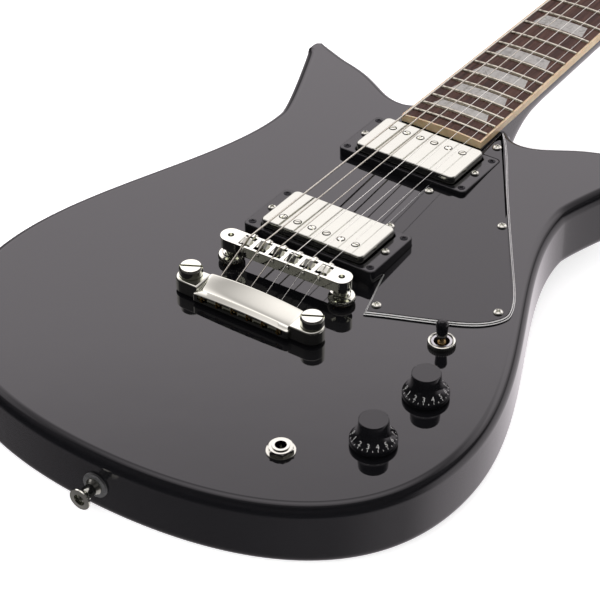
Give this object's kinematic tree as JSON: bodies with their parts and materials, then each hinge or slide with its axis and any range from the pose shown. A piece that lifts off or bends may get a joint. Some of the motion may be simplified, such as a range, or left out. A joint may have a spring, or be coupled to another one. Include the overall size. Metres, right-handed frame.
{
  "type": "electric guitar",
  "caption": "Solid-body electric guitar with a twin-horned gloss black body, angled pickguard, two covered pickups, stop tailpiece and three-a-side headstock.",
  "frame": {"origin": "on the body's flat back face, on the centre line, under the end of the scale at the bridge", "axes": "+X to the treble side, +Y along the body towards the headstock, +Z out of the top, towards the strings"},
  "size_m": [0.323, 1.0072, 0.1028],
  "materials": {
    "black_lacquer": "high-gloss black lacquer over wood",
    "rosewood": "oiled dark rosewood",
    "cream_binding": "aged cream, polished",
    "fret_wire": "polished",
    "pearloid": "pearl, polished flush",
    "bone": "satin",
    "steel": "zinc plated",
    "black_plastic": "gloss black",
    "nickel_screw": "nickel plated",
    "black_screw": "black oxide",
    "nickel": "polished nickel plate",
    "bobbin_black": "moulded bobbin with its winding",
    "magnet": "sand-cast bar",
    "nickel_silver": "satin nickel silver",
    "spring_steel": "bright coil",
    "brass_shaft": "turned",
    "wire": "cloth and plastic covered",
    "felt": "pressed felt",
    "string_steel": "plain and nickel wound"
  },
  "bodies": {
    "guitar": {"body": "black_lacquer", "neck": "black_lacquer", "fingerboard": "rosewood", "fingerboard_binding": "cream_binding", "frets": "fret_wire", "position_markers": "pearloid", "nut": "bone", "truss_rod": "steel", "truss_rod_cover": "black_plastic", "pickguard": "black_plastic", "nickel_screws": "nickel_screw", "black_screws": "black_screw", "neck_pickup_ring": "black_plastic", "bridge_pickup_ring": "black_plastic", "pickup_covers": "nickel", "pickup_bobbins": "bobbin_black", "pickup_pole_screws": "nickel_screw", "pickup_magnets": "magnet", "pickup_baseplates": "nickel_silver", "pickup_springs": "spring_steel", "bridge_base": "nickel", "saddle_screws": "nickel_screw", "bridge_posts": "nickel", "tailpiece": "nickel", "tailpiece_studs": "nickel", "stud_bushings": "nickel", "pot_housings": "steel", "panel_nuts": "nickel", "selector_housing": "steel", "output_jack": "nickel", "wiring_harness": "wire", "control_cover": "black_plastic", "strap_button_end": "nickel", "strap_felt": "felt", "strings": "string_steel", "tuner_housings": "nickel"},
    "volume": {"volume_knob": "black_plastic", "volume_shaft": "brass_shaft"},
    "tone": {"tone_knob": "black_plastic", "tone_shaft": "brass_shaft"},
    "selector": {"selector_lever": "brass_shaft", "selector_tip": "black_plastic"},
    "saddle_1_body": {"saddle_1": "nickel"},
    "tuner_post_1_body": {"tuner_post_1": "nickel"},
    "tuner_button_1_body": {"tuner_button_1": "nickel"},
    "saddle_2_body": {"saddle_2": "nickel"},
    "tuner_post_2_body": {"tuner_post_2": "nickel"},
    "tuner_button_2_body": {"tuner_button_2": "nickel"},
    "saddle_3_body": {"saddle_3": "nickel"},
    "tuner_post_3_body": {"tuner_post_3": "nickel"},
    "tuner_button_3_body": {"tuner_button_3": "nickel"},
    "saddle_4_body": {"saddle_4": "nickel"},
    "tuner_post_4_body": {"tuner_post_4": "nickel"},
    "tuner_button_4_body": {"tuner_button_4": "nickel"},
    "saddle_5_body": {"saddle_5": "nickel"},
    "tuner_post_5_body": {"tuner_post_5": "nickel"},
    "tuner_button_5_body": {"tuner_button_5": "nickel"},
    "saddle_6_body": {"saddle_6": "nickel"},
    "tuner_post_6_body": {"tuner_post_6": "nickel"},
    "tuner_button_6_body": {"tuner_button_6": "nickel"}
  },
  "joints": [
    {"name": "volume_turn", "type": "hinge", "parent": "guitar", "child": "volume", "pos_m": [0.1195, -0.0478, 0.05], "axis": [0, 0, 1], "range_deg": [-150, 150]},
    {"name": "tone_turn", "type": "hinge", "parent": "guitar", "child": "tone", "pos_m": [0.116, -0.0947, 0.05], "axis": [0, 0, 1], "range_deg": [-150, 150]},
    {"name": "selector_tilt", "type": "hinge", "parent": "guitar", "child": "selector", "pos_m": [0.104, -0.0055, 0.041], "axis": [1, 0, 0], "range_deg": [-14, 14]},
    {"name": "saddle_1_slide", "type": "slide", "parent": "guitar", "child": "saddle_1_body", "axis": [-0.0255, 0.9997, 0], "range_m": [-0.0002, 0.0025]},
    {"name": "saddle_2_slide", "type": "slide", "parent": "guitar", "child": "saddle_2_body", "axis": [-0.0255, 0.9997, 0], "range_m": [-0.0002, 0.001]},
    {"name": "saddle_3_slide", "type": "slide", "parent": "guitar", "child": "saddle_3_body", "axis": [-0.0255, 0.9997, 0], "range_m": [-0.0002, 0.0015]},
    {"name": "saddle_4_slide", "type": "slide", "parent": "guitar", "child": "saddle_4_body", "axis": [-0.0255, 0.9997, 0], "range_m": [-0.0002, 0.0031]},
    {"name": "saddle_5_slide", "type": "slide", "parent": "guitar", "child": "saddle_5_body", "axis": [-0.0255, 0.9997, 0], "range_m": [-0.0002, 0.0018]},
    {"name": "saddle_6_slide", "type": "slide", "parent": "guitar", "child": "saddle_6_body", "axis": [-0.0255, 0.9997, 0], "range_m": [-0.0002, 0.0016]},
    {"name": "tuner_button_1_turn", "type": "hinge", "parent": "guitar", "child": "tuner_button_1_body", "pos_m": [-0.0265, 0.6764, -0.01104], "axis": [-1, 0, 0], "continuous": true},
    {"name": "tuner_button_2_turn", "type": "hinge", "parent": "guitar", "child": "tuner_button_2_body", "pos_m": [-0.0277, 0.71286, -0.02177], "axis": [-1, 0, 0], "continuous": true},
    {"name": "tuner_button_3_turn", "type": "hinge", "parent": "guitar", "child": "tuner_button_3_body", "pos_m": [-0.0289, 0.74931, -0.0325], "axis": [-1, 0, 0], "continuous": true},
    {"name": "tuner_button_4_turn", "type": "hinge", "parent": "guitar", "child": "tuner_button_4_body", "pos_m": [0.0289, 0.74931, -0.0325], "axis": [1, 0, 0], "continuous": true},
    {"name": "tuner_button_5_turn", "type": "hinge", "parent": "guitar", "child": "tuner_button_5_body", "pos_m": [0.0277, 0.71286, -0.02177], "axis": [1, 0, 0], "continuous": true},
    {"name": "tuner_button_6_turn", "type": "hinge", "parent": "guitar", "child": "tuner_button_6_body", "pos_m": [0.0265, 0.6764, -0.01104], "axis": [1, 0, 0], "continuous": true},
    {"name": "tuner_post_1_turn", "type": "hinge", "parent": "guitar", "child": "tuner_post_1_body", "pos_m": [-0.0265, 0.67486, 0.01136], "axis": [0, 0.2823, 0.9593], "continuous": true},
    {"name": "tuner_post_2_turn", "type": "hinge", "parent": "guitar", "child": "tuner_post_2_body", "pos_m": [-0.0277, 0.71132, 0.00063], "axis": [0, 0.2823, 0.9593], "continuous": true},
    {"name": "tuner_post_3_turn", "type": "hinge", "parent": "guitar", "child": "tuner_post_3_body", "pos_m": [-0.0289, 0.74777, -0.0101], "axis": [0, 0.2823, 0.9593], "continuous": true},
    {"name": "tuner_post_4_turn", "type": "hinge", "parent": "guitar", "child": "tuner_post_4_body", "pos_m": [0.0289, 0.74777, -0.0101], "axis": [0, 0.2823, 0.9593], "continuous": true},
    {"name": "tuner_post_5_turn", "type": "hinge", "parent": "guitar", "child": "tuner_post_5_body", "pos_m": [0.0277, 0.71132, 0.00063], "axis": [0, 0.2823, 0.9593], "continuous": true},
    {"name": "tuner_post_6_turn", "type": "hinge", "parent": "guitar", "child": "tuner_post_6_body", "pos_m": [0.0265, 0.67486, 0.01136], "axis": [0, 0.2823, 0.9593], "continuous": true}
  ],
  "couplings": [
    {"joint": "tuner_post_1_turn", "follows": "tuner_button_1_turn", "ratio": 0.071429},
    {"joint": "tuner_post_2_turn", "follows": "tuner_button_2_turn", "ratio": 0.071429},
    {"joint": "tuner_post_3_turn", "follows": "tuner_button_3_turn", "ratio": 0.071429},
    {"joint": "tuner_post_4_turn", "follows": "tuner_button_4_turn", "ratio": -0.071429},
    {"joint": "tuner_post_5_turn", "follows": "tuner_button_5_turn", "ratio": -0.071429},
    {"joint": "tuner_post_6_turn", "follows": "tuner_button_6_turn", "ratio": -0.071429}
  ]
}
